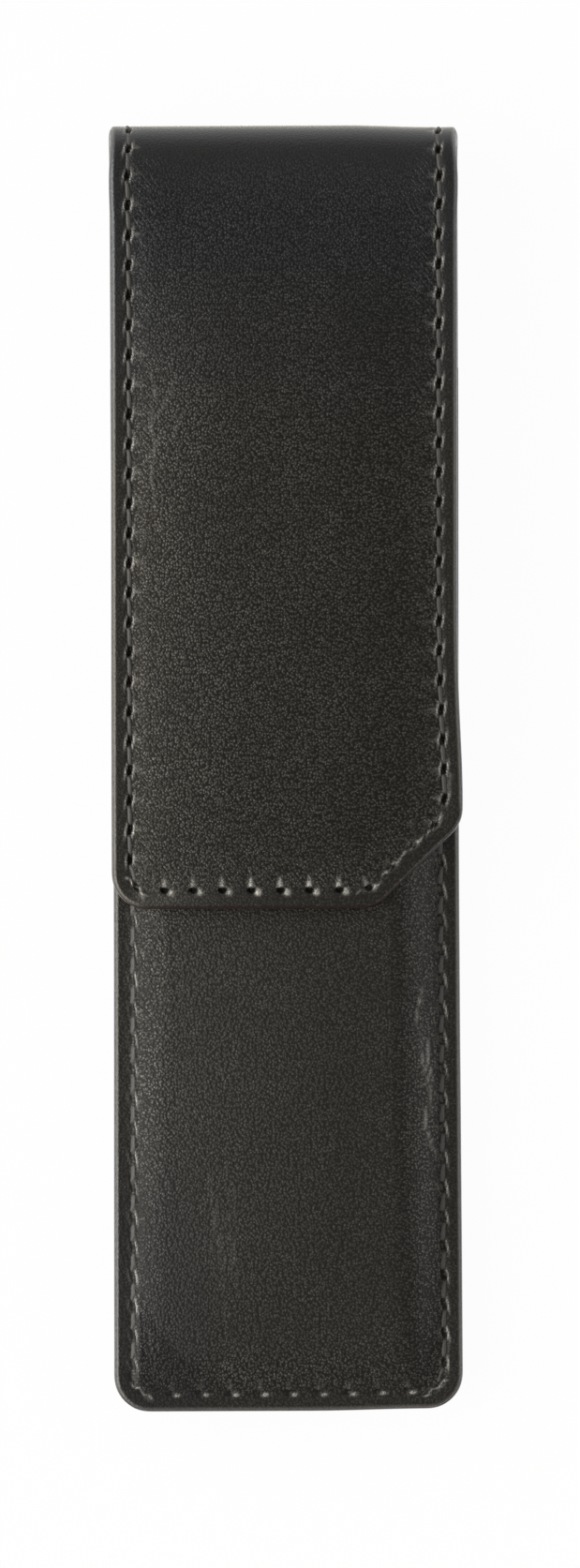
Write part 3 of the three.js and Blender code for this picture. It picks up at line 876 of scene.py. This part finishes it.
def lining_cloth():
    """Napped black lining with a short irregular pile."""
    m = Material("lining_cloth")
    pile = m.noise(7.0, 5.0, 0.7)
    brushed = m.noise(0.25, 3.0, 0.55)
    light = m.between(m.math("ADD", pile, brushed), 0.7, 1.3, 0.0, 1.0)
    colour = m.mix(light, (0.008, 0.008, 0.008), (0.022, 0.021, 0.02))
    return m.finish(Base_Color=colour, Roughness=0.9, Normal=m.bump(pile, 0.12), Sheen_Weight=0.25)


def waxed_thread():
    """Waxed black thread with fine fibres."""
    m = Material("waxed_thread")
    fibres = m.noise(9.0, 4.0, 0.7)
    colour = m.mix(fibres, (0.02, 0.0193, 0.018), (0.11, 0.106, 0.098))
    rough = m.between(fibres, 0.3, 0.7, 0.4, 0.6)
    return m.finish(Base_Color=colour, Roughness=rough, Normal=m.bump(fibres, 0.04))


def fibre_board(name, dark, light):
    """Pressed fibre stiffener or felt: short fibres and specks."""
    m = Material(name)
    fibres = m.noise(3.0, 6.0, 0.7)
    specks = m.add("ShaderNodeTexVoronoi", {"Vector": m.pattern, "Scale": 1.2}).outputs["Distance"]
    colour = m.mix(m.math("MULTIPLY", fibres, m.between(specks, 0.0, 0.6, 1.2, 0.7)), dark, light)
    return m.finish(Base_Color=colour, Roughness=0.92, Normal=m.bump(fibres, 0.1))


def nickel():
    """Nickel plate with fine turning marks."""
    m = Material("nickel_plate")
    marks = m.noise(0.9, 4.0, 0.6)
    colour = m.mix(marks, (0.5, 0.49, 0.47), (0.68, 0.67, 0.65))
    rough = m.between(marks, 0.3, 0.7, 0.22, 0.36)
    return m.finish(Base_Color=colour, Metallic=1.0, Roughness=rough, Normal=m.bump(marks, 0.01))


# Colours of valleys, partly painted shade; crests, partly painted glints; browned rims; and the whitish
# painted glints
BLACK_CALF = ((0.004, 0.0037, 0.0033), (0.018, 0.017, 0.0153), (0.005, 0.004, 0.0025), (0.4, 0.39, 0.36))
BLACK_SPLIT = ((0.006, 0.0058, 0.0055), (0.03, 0.028, 0.026), (0.02, 0.018, 0.015), (0.1, 0.1, 0.1))
FRONT_TINT = (1.0, 0.955, 0.875)
FRONT_SHADE_TINT = (0.955, 0.945, 0.925)
OUTER = leather("outer_leather", BLACK_CALF)
FRONT_OUTER = leather(
    "front_outer_leather", BLACK_CALF, grain=1.2, lean=0.7, tint=FRONT_TINT, shade_tint=FRONT_SHADE_TINT
)
INNER_LEATHER = leather("divider_leather", BLACK_SPLIT, grain=1.4)
EDGE = painted_edge()
CLOTH = lining_cloth()
THREAD = waxed_thread()
BOARD_FIBRE = fibre_board("board_fibre", (0.12, 0.08, 0.045), (0.3, 0.21, 0.13))
FELT = fibre_board("felt_fibre", (0.05, 0.048, 0.045), (0.12, 0.115, 0.11))
NICKEL = nickel()

# Joining the pieces to the model: a piece on one body is attached to it, and one that crosses a fold keeps
# its place unattached
BACK_BEND = ("case", "spine", S_BACK, S_SPINE)
FLAP_BEND = ("spine", "flap", S_SPINE_END, S_FLAP)


def join(piece, bend, slot, *nodes):
    """Set a piece on one body, or across a fold, in place of the named nodes."""
    if isinstance(bend, str):
        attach(piece, bend)
    else:
        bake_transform(piece)
    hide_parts(*nodes)


# The strip's outer leather


def flap_leather():
    """The flap's skin with the spine's front half: puffed inside its seam, with creases on the left."""
    x, s = strip_grid(S_MIDDLE, S_END, *SHOWN_MESH)
    line = flap_line(SEAM_INSET, S_MIDDLE)
    inset = distance_to(flap_line(0, S_MIDDLE), x, s)
    relief, holes = seam_relief(x, s, line, seam_holes(line), pinch=0.16, seed=2, spikes=0.8, knots=0.8)
    n = rim_drop(inset, RIM) + relief
    n -= PUFF * rise(inset, *PUFF_FIELD) * rise(s, S_FLAP, S_FLAP + PUFF_RUN)
    uneven = swell(x, s, size=14.0, height=0.035, seed=3) * rise(inset, *SWELL_FIELD)
    n += uneven * rise(s, S_FLAP, S_FLAP + 10)
    press_creases(n, holes, x, s - S_END, FLAP_CREASES, depth=0.03, white=0.16)
    # Painted shade on the flap's upper part, fading out down the flap
    holes[..., 2] = fall(s - S_FLAP, *FLAP_SHADE)
    fold = fall(s, S_FLAP - 8, S_FLAP + 5)
    past_cut = np.maximum(x - HALF + CORNER_CUT, 0)
    free_edge = rise(s + past_cut, S_END - 3, S_END - 1) * rise(x, 1.5 - HALF, 4.5 - HALF)
    finish = leather_finish(inset, fold, keep=1 - 0.95 * free_edge)
    made = slab("flap_leather_skin", strip, x, s, n, LEATHER, OUTER, finish=finish, holes=holes)
    join(made, FLAP_BEND, "outer_leather", "flap_leather", "spine_leather")


def back_leather():
    """The back's skin with the spine's other half."""
    x, s = strip_grid(0, S_MIDDLE, *BACK_MESH)
    line = back_line(SEAM_INSET, S_MIDDLE)
    inset = distance_to(back_line(0, S_MIDDLE), x, s)
    relief, holes = seam_relief(x, s, line, seam_holes(line), pinch=0.03)
    n = rim_drop(inset, RIM) + np.maximum(relief, 0)
    # Painted shade on the back towards the spine's middle, where it meets the flap's
    holes[..., 2] = rise(s, S_MIDDLE - BACK_SHADE, S_MIDDLE)
    finish = leather_finish(inset, rise(s, S_BACK - 2, S_BACK + 4))
    made = slab("back_leather_skin", strip, x, s, n, LEATHER, OUTER, finish=finish, holes=holes)
    join(made, BACK_BEND, "outer_leather", "back_leather", "spine_leather")


# The layers under it


def core_layer(name, start, stop, bend, material, slot, node):
    """Board or interlining between leather and lining, set in so that the edge paint covers it."""
    x, s = layer_grid(start, stop, CORE_MARGIN)
    made = slab(name, strip_core, x, s, np.zeros_like(x), BOARD, material)
    join(made, bend, slot, node)


def lining_layer(name, start, stop, bend, seam_lines, *nodes):
    """The strip's lining, slightly uneven and drawn in along its seams."""
    x, s = layer_grid(start, stop, LINING_MARGIN)
    inset = HALF - np.abs(x)
    if stop == S_END:
        inset = np.minimum(inset, S_END - s)
    n = rim_drop(np.maximum(inset - LINING_MARGIN, 0), LINING_RIM)
    for line in seam_lines:
        n += 0.5 * seam_relief(x, s, line, seam_holes(line), pinch=0.0)[0]
    n += np.minimum(swell(x, s, size=10.0, height=0.05, seed=8), 0)
    made = slab(name, strip_inside, x, s, n, LINING, CLOTH, flip=True)
    join(made, bend, "lining", *nodes)


def strip_layers():
    """Boards, interlining and linings; the interlining and linings part at the middle of the spine."""
    core_layer("back_board_core", 0, BACK_FOLD, BACK_BEND, BOARD_FIBRE, "board", "back_board")
    core_layer("flap_board_core", FRONT_FOLD, S_END, FLAP_BEND, BOARD_FIBRE, "board", "flap_board")
    core_layer("spine_felt_lower", BACK_FOLD, S_MIDDLE, BACK_BEND, FELT, "felt", "spine_interlining")
    core_layer("spine_felt_upper", S_MIDDLE, FRONT_FOLD, FLAP_BEND, FELT, "felt", "spine_interlining")
    back_seams = inner_back_lines()
    lining_layer("back_lining_cloth", 0, S_MIDDLE, BACK_BEND, back_seams, "back_lining", "spine_lining")
    flap_seams = [flap_line(SEAM_INSET, S_MIDDLE)]
    lining_layer("flap_lining_cloth", S_MIDDLE, S_END, FLAP_BEND, flap_seams, "flap_lining", "spine_lining")


# The pocket's front


def mouth_shift(x, s):
    """How far the thumb notch draws a place near the mouth down."""
    radius = NOTCH_WIDTH**2 / (8 * NOTCH_DEPTH) + NOTCH_DEPTH / 2
    reach = np.clip(radius**2 - x**2, 0, None)
    depth = np.clip(NOTCH_DEPTH - radius + np.sqrt(reach), 0, None)
    return depth * rise(s, S_MOUTH - 20, S_MOUTH)


def front_leather():
    """The pocket's skin: small holes, creases near the right seam and faint wrinkles on the left."""
    x, s = pocket_grid(*SHOWN_MESH)
    line = back_line(SEAM_INSET, S_MOUTH - SEAM_INSET)
    inset = distance_to(back_line(0, S_MOUTH + PAST_MOUTH), x, s)
    points = seam_holes(line)
    gape = np.where(points[0][:, 0] > RIGHT_SEAM, 0.5, 0.25)
    relief, holes = seam_relief(
        x, s, line, points, pinch=0.07, seed=4, spikes=0.1, knots=0.65, gape=gape, tick=0.15, left_lip=0.2
    )
    n = rim_drop(np.minimum(inset, S_MOUTH - s), RIM) + relief
    n += swell(x, s, size=17.0, height=0.09, seed=5) * rise(inset, *SWELL_FIELD)
    press_creases(n, holes, x, s, FRONT_CREASES, depth=0.04, white=0.5)
    press_creases(n, holes, x, s, FRONT_WRINKLES, depth=0.04, white=0.08)
    # Painted shade low on the pocket's left
    holes[..., 2] = FRONT_SHADE * fall(s, *FRONT_SHADE_UP) * fall(x + HALF, *FRONT_SHADE_ACROSS)
    finish = leather_finish(inset, np.zeros_like(x))
    finish[..., 0] = np.maximum(finish[..., 0], 0.5 * rise(inset, 4, 9))
    finish[..., 1] *= 0.2 + 0.8 * rise(s, 30, 60)
    lowered = s - mouth_shift(x, s)
    made = slab("front_leather_skin", pocket, x, lowered, n, LEATHER, FRONT_OUTER, finish=finish, holes=holes)
    join(made, "case", "outer_leather", "front_leather")


def front_felt():
    """The padding behind the pocket's leather."""
    x, s = pocket_grid(*PLAIN_MESH, CORE_MARGIN)
    lowered = s - mouth_shift(x, s)
    made = slab("front_felt_core", pocket_core, x, lowered, np.zeros_like(x), PADDING, FELT)
    join(made, "case", "felt", "front_felt")


def front_lining():
    """The pocket's lining, slightly uneven away from its sides."""
    x, s = pocket_grid(*FRONT_CLOTH_MESH, LINING_MARGIN)
    lowered = s - mouth_shift(x, s)
    n = np.maximum(-swell(x, s, size=9.0, height=0.06, seed=11), 0) * rise(HALF - np.abs(x), 4, 8)
    made = slab("front_lining_cloth", pocket_inside, x, lowered, n, LINING, CLOTH, flip=True)
    join(made, "case", "lining", "front_lining")


# Edges, threads, the divider and the closure


def mouth_line():
    """The mouth's edge, with its thumb notch."""
    across = np.linspace(-HALF + 0.2, HALF - 0.2, 120)
    return np.stack([across, S_MOUTH - mouth_shift(across, S_MOUTH)], -1)


def painted_edges():
    """Edge paint on the strip's two halves, the pocket's outline and its mouth."""
    bands = (
        ("back_edge_paint", back_line(0, S_MIDDLE), strip, PANEL - BAND_BASE, BACK_BEND),
        ("flap_edge_paint", flap_line(0, S_MIDDLE), strip, PANEL - BAND_BASE, FLAP_BEND),
        ("front_edge_paint", back_line(0, S_MOUTH), pocket, FRONT - HEM_BASE, "case"),
        ("mouth_edge_paint", mouth_line(), pocket, FRONT - BAND_BASE, "case"),
    )
    for name, line, place, deep, bend in bands:
        join(edge_band(name, line, place, deep), bend, "outer_leather")


def seams():
    """Stitches on the outside, and their other side on the linings."""
    front = back_line(SEAM_INSET, S_MOUTH - SEAM_INSET)
    back = back_line(SEAM_INSET, S_MIDDLE)
    flap = flap_line(SEAM_INSET, S_MIDDLE)
    spine = ("spine_thread_left", "spine_thread_right")
    spine_inner = ("spine_lining_thread_left", "spine_lining_thread_right")
    made = stitch_row("front_stitches", [front], pocket, sink=1.2, proud=-0.28, lift=0.16)
    join(made, "case", "thread", "front_seam_thread")
    made = stitch_row("flap_stitches", [flap], strip)
    join(made, FLAP_BEND, "thread", "flap_seam_thread", *spine)
    made = stitch_row("back_stitches", [back], strip, sink=0.6, proud=-0.3)
    join(made, BACK_BEND, "thread", "back_seam_thread", *spine)
    made = stitch_row("flap_inner_stitches", [flap], strip_inside, sink=0.4, proud=0.0)
    join(made, FLAP_BEND, "thread", "flap_lining_thread", *spine_inner)
    made = stitch_row("back_inner_stitches", inner_back_lines(), strip_inside, sink=0.4, proud=0.0)
    join(made, BACK_BEND, "thread", "back_lining_thread_left", "back_lining_thread_right", *spine_inner)


def divider_ring(base, top):
    """Section of the T-shaped divider, from one edge of its foot over the web's top to the other."""
    foot = DIVIDER_FOOT / 2
    web = DIVIDER / 2
    half = [
        # The foot, with a thinned edge
        (foot, base),
        (foot, base + 0.3 * DIVIDER),
        (foot - 0.8, base + DIVIDER),
        # The fillet at the web's root
        (web + 0.9, base + DIVIDER),
        (web + 0.25, base + DIVIDER + 0.3),
        (web, base + DIVIDER + 1.0),
        # The web, with a rounded top
        *((web, z) for z in np.linspace(base + 2, top - 0.3, 6)),
        (0.5 * web, top - 0.05),
    ]
    return np.array(half + [(-x, z) for x, z in reversed(half)])


def divider():
    """The strip between the pens, with a foot narrowed at its ends and a slightly wavy web."""
    start = HEM + END_SHOULDER + FRONT
    stop = S_MOUTH - NOTCH_DEPTH - DIVIDER_SETBACK
    base = PANEL + GLUE
    top = PANEL + PEN_HEIGHT - SETTLE - DIVIDER_HEADROOM
    ring = divider_ring(base, top)
    s = np.repeat(spaced(start, stop, DIVIDER_MESH)[:, None], len(ring), 1)
    z = np.broadcast_to(ring[:, 1], s.shape)
    narrow = 1 - DIVIDER_TAPER * (bell(s, start, TAPER_REACH) + bell(s, stop, TAPER_REACH))
    lift = np.clip((z - base) / (top - base), 0, 1)
    x = ring[:, 0] * np.where(np.abs(ring[:, 0]) > DIVIDER / 2, narrow, 1)
    x = x + WEB_WAVE * lift * np.sin(s / WEB_WAVE_RUN)
    faces = [face[::-1] for face in loft_faces(*s.shape)]
    pattern = np.stack([x + z, s, z], -1)
    vertices = np.stack([x, BOTTOM + s, z], -1) * MM
    made = make_object("divider_leather_strip", vertices, faces, pattern, INNER_LEATHER)
    join(made, "case", "divider_leather", "pen_divider")


def disc(name, place, s, diameter, thickness):
    """A flat round plate under the leather, its rim slightly eased."""
    ease = 0.1
    deep = UNDER_LEATHER + thickness
    angle = np.linspace(0, 2 * math.pi, 64, endpoint=False)
    reach = diameter / 2 * np.array([0.97, 1.0, 1.0, 0.97])[:, None]
    depth = np.array([deep, deep - ease, UNDER_LEATHER + ease, UNDER_LEATHER])[:, None]
    x, s, n = np.broadcast_arrays(reach * np.cos(angle), s + reach * np.sin(angle), depth)
    pattern = np.stack([x, s, n], -1)
    return make_object(name, place(x, s, n), loft_faces(*x.shape), pattern, NICKEL)


def closure():
    """The magnet in the flap's board and the steel keeper under it."""
    magnet = disc("closure_magnet", strip, S_END - MAGNET_SETBACK, MAGNET_DIAMETER, BOARD)
    join(magnet, "flap", "plated_steel", "flap_magnet")
    under_magnet = LENGTH - FLAP_REACH + MAGNET_SETBACK
    keeper = disc("closure_keeper", pocket, under_magnet, KEEPER_DIAMETER, PADDING)
    join(keeper, "case", "plated_steel", "keeper_plate")


# Stage: floor, light and camera


def floor():
    """Pale floor that shows white to the camera and in reflections, and keeps part of the shadow."""
    m = Material("floor_white")
    colour = m.mix(m.noise(0.4, 2.0, 0.5), (0.88, 0.88, 0.875), (0.91, 0.91, 0.905))
    material = m.finish(Base_Color=colour, Roughness=0.95, Specular_IOR_Level=0.0)
    rays = m.add("ShaderNodeLightPath").outputs
    seen = m.math("MAXIMUM", rays["Is Camera Ray"], rays["Is Glossy Ray"], rays["Is Transmission Ray"])
    share = m.math("MULTIPLY", seen, FLOOR_GLOW)
    glow = m.add("ShaderNodeEmission", {"Color": (1, 1, 1, 1), "Strength": 1.0})
    both = m.add("ShaderNodeMixShader", {0: share, 1: m.shader.outputs[0], 2: glow.outputs[0]})
    m.put(m.tree.nodes["Material Output"].inputs["Surface"], both.outputs[0])
    corners = [(x * FLOOR_HALF, y * FLOOR_HALF, 0) for x, y in ((-1, -1), (1, -1), (1, 1), (-1, 1))]
    made = make_object("floor", corners, [(0, 1, 2, 3)], np.array(corners) / MM, material)


def surroundings():
    """A dim room with a bright wall on the left, that shows white to the camera."""
    world = bpy.data.worlds.new("studio")
    bpy.context.scene.world = world
    world.use_nodes = True
    m = Tree(world.node_tree)
    direction = m.add("ShaderNodeTexCoord").outputs["Generated"]
    leftward = m.add("ShaderNodeSeparateXYZ", {0: direction}).outputs["X"]
    wall = m.math("POWER", m.between(leftward, 0.0, -1.0, 0.0, 1.0), 2.3)
    room = m.mix(wall, (0.42, 0.413, 0.397), (4.3, 4.24, 4.08))
    seen = m.add("ShaderNodeLightPath").outputs["Is Camera Ray"]
    m.put(m.tree.nodes["Background"].inputs["Color"], m.mix(seen, room, (1, 1, 1)))


def softbox(name, location, size, power, colour):
    """A rectangular soft light that looks at the middle of the case."""
    light = bpy.data.lights.new(name, "AREA")
    light.shape = "RECTANGLE"
    light.size, light.size_y = size
    light.energy = power
    light.color = colour
    made = bpy.data.objects.new(name, light)
    bpy.context.scene.collection.objects.link(made)
    made.location = location
    made.rotation_euler = (-Vector(location)).to_track_quat("-Z", "Y").to_euler()


def lights():
    softbox("left_box", (-0.8, -0.25, 0.8), size=(1.2, 0.5), power=1.9, colour=(1, 0.985, 0.95))
    softbox("right_box", (1.1, 0.0, 0.33), size=(1.4, 0.35), power=1.8, colour=(0.98, 0.99, 1))


def camera():
    """Straight down from above, framed as in the photograph of 619 by 1673 pixels."""
    view = bpy.data.cameras.new("camera")
    view.sensor_width = 36.0
    view.lens = view.sensor_width * CAMERA_DISTANCE * PIXELS_PER_MM / IMAGE_HEIGHT
    view.clip_start = 0.05
    view.clip_end = 10.0
    made = bpy.data.objects.new("camera", view)
    bpy.context.scene.collection.objects.link(made)
    made.location = (CAMERA_X * MM, CAMERA_Y * MM, (CAMERA_DISTANCE + HEIGHT) * MM)
    made.rotation_euler = (0, 0, math.radians(CAMERA_ROLL))
    bpy.context.scene.camera = made


back_leather()
flap_leather()
strip_layers()
front_leather()
front_felt()
front_lining()
painted_edges()
seams()
divider()
closure()
floor()
surroundings()
lights()
camera()
bpy.context.scene.view_settings.view_transform = "Standard"
